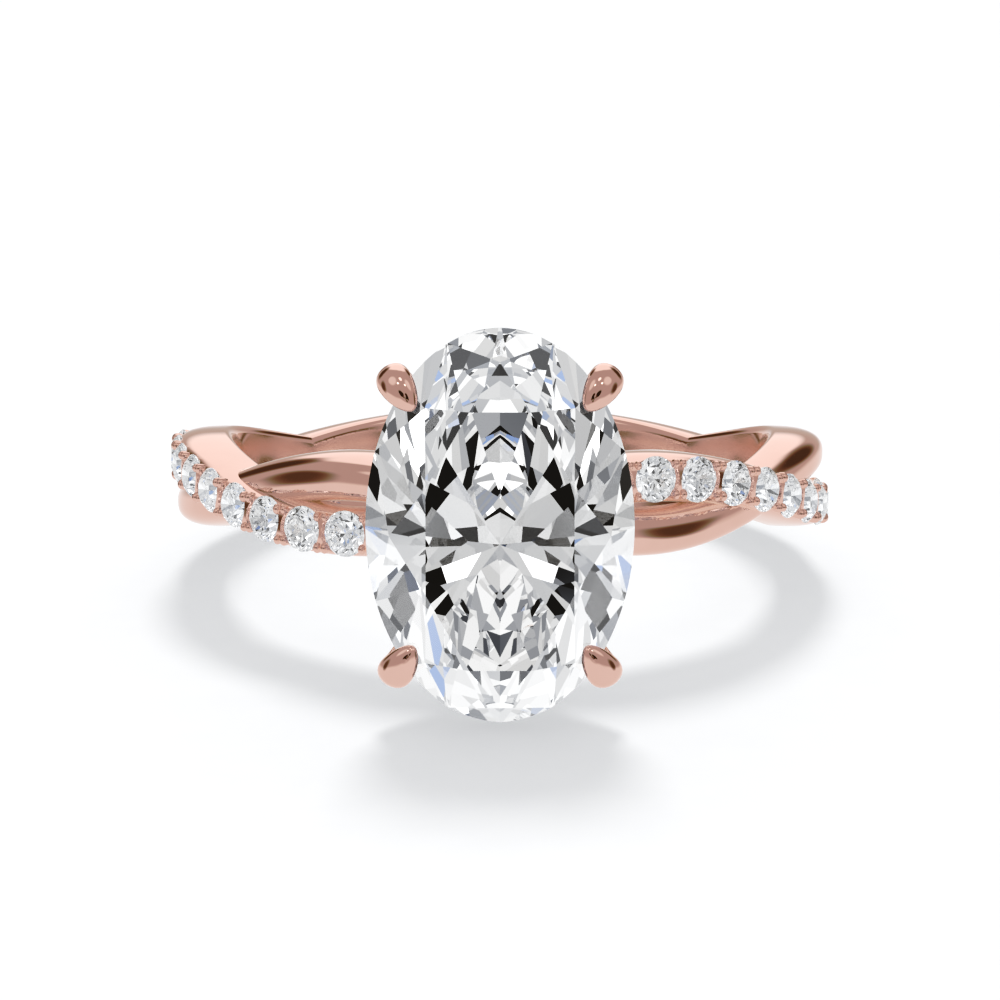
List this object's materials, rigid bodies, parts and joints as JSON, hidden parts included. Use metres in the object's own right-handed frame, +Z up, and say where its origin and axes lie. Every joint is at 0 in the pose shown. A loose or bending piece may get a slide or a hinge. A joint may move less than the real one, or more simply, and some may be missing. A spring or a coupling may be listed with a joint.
{
  "type": "twisted shank ring with a claw-set oval stone",
  "caption": "Finger ring of two twisted rose gold strands, one set with small round stones, carrying an oval brilliant in four claws.",
  "frame": {"origin": "bottom centre of the box of the ring as it lies on a table, resting on the oval stone's lower end and the lowest edge of the band's back", "axes": "+Z up, -Y towards the side on which the oval stone faces, +X to the right seen from there. The finger hole's axis leans 9.5 degrees from +Z towards +Y"},
  "size_m": [0.021, 0.0262, 0.0108],
  "materials": {
    "rose_gold": "14 k rose gold, mirror polished, with fine handling marks",
    "oval_diamond": "colourless diamond, polished facets",
    "small_diamond": "colourless diamond, polished facets"
  },
  "bodies": {
    "root": {"shank_and_head": "rose_gold", "centre_stone": "oval_diamond", "pave_stone_01": "small_diamond", "pave_stone_02": "small_diamond", "pave_stone_03": "small_diamond", "pave_stone_04": "small_diamond", "pave_stone_05": "small_diamond", "pave_stone_06": "small_diamond", "pave_stone_07": "small_diamond", "pave_stone_08": "small_diamond", "pave_stone_09": "small_diamond", "pave_stone_10": "small_diamond", "pave_stone_11": "small_diamond", "pave_stone_12": "small_diamond", "pave_stone_13": "small_diamond", "pave_stone_14": "small_diamond", "pave_stone_15": "small_diamond", "pave_stone_16": "small_diamond", "pave_stone_17": "small_diamond", "pave_stone_18": "small_diamond", "pave_stone_19": "small_diamond", "pave_stone_20": "small_diamond"}
  },
  "joints": []
}
